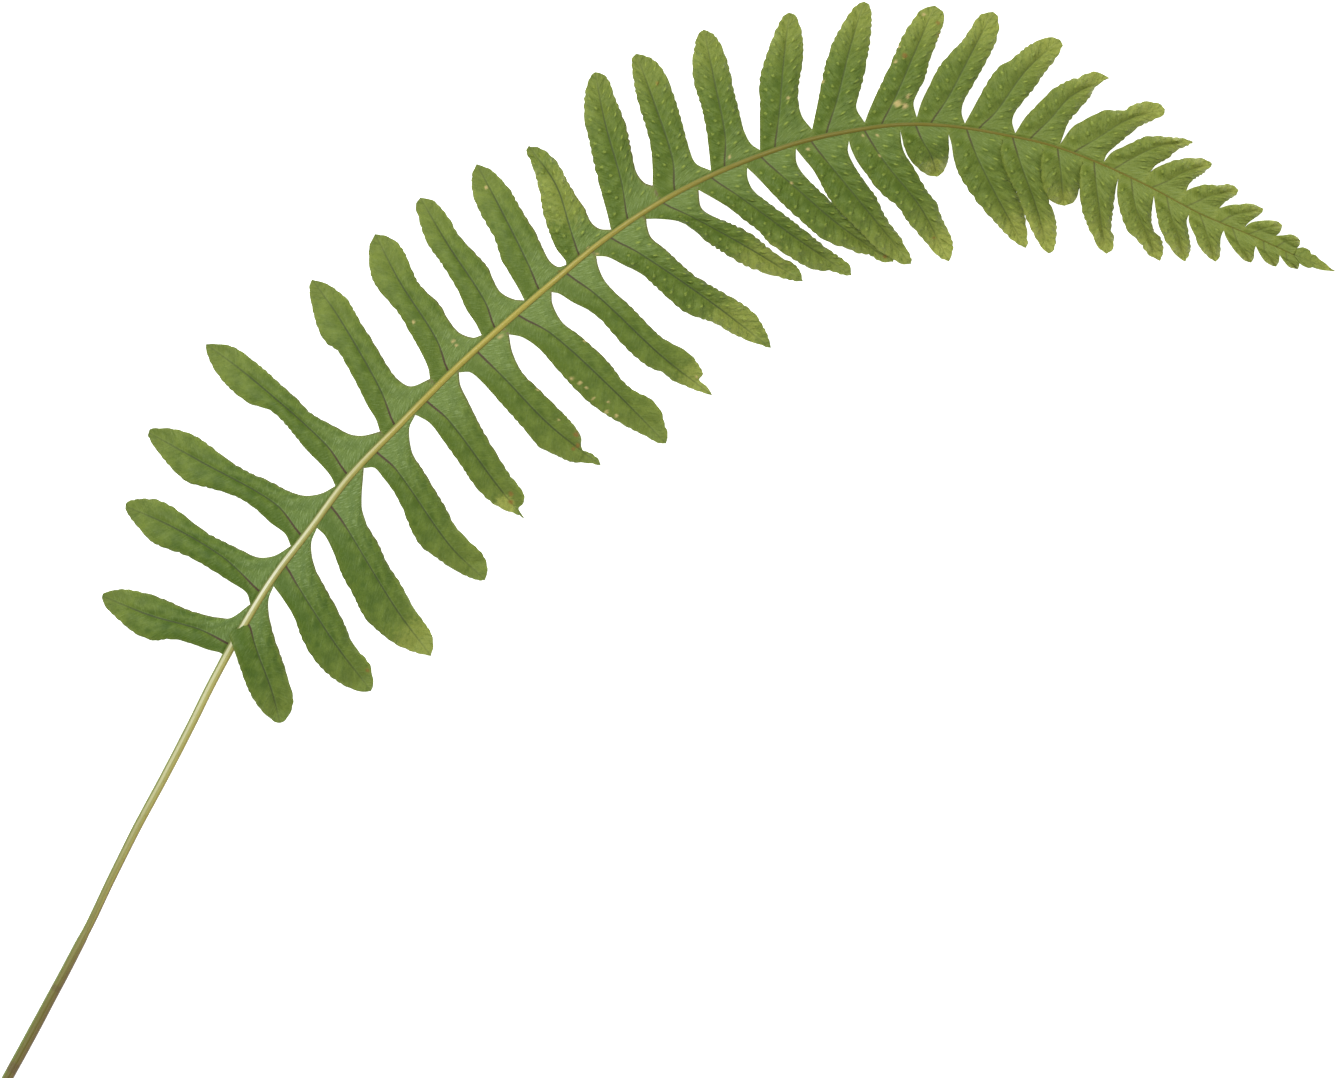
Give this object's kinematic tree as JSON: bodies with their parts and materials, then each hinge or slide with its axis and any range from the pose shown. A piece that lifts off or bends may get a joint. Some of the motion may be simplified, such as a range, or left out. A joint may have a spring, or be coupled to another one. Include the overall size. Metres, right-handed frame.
{
  "type": "fern frond",
  "caption": "Deeply lobed green fern frond on a slender bare stalk, cut and lying face up, for table displays, planting sets and nature scenes.",
  "frame": {"origin": "centre of the bounding box at the sheet that the frond lies on", "axes": "+X from the cut end of the stalk towards the frond's tip as seen in the picture, +Y up in the picture, +Z up from the sheet"},
  "size_m": [0.2688, 0.2202, 0.0081],
  "materials": {
    "leaf": "leathery satin green",
    "stalk": "smooth, olive to straw"
  },
  "bodies": {
    "root": {"stalk": "stalk", "blade": "leaf"}
  },
  "joints": []
}
